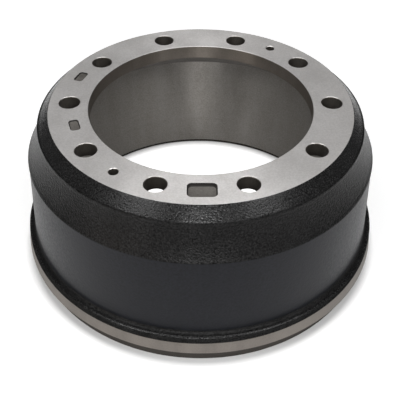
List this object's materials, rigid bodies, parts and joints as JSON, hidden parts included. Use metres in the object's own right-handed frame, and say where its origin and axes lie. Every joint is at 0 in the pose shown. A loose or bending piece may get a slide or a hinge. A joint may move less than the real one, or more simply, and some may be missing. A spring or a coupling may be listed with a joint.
{
  "type": "brake drum",
  "caption": "Cast iron brake drum of a heavy axle: flat drilled mounting flange with a large centre bore, conical shoulder, barrel and turned rim at the open end.",
  "frame": {"origin": "centre of the open end's plane, on the drum's axis", "axes": "+Z along the drum's axis, from the open end up to the mounting face; -Y to the front, through the large cast pocket"},
  "size_m": [0.4886, 0.4884, 0.217],
  "materials": {
    "casting": "black painted rough casting, bare where it is turned"
  },
  "bodies": {
    "root": {"brake_drum": "casting"}
  },
  "joints": []
}
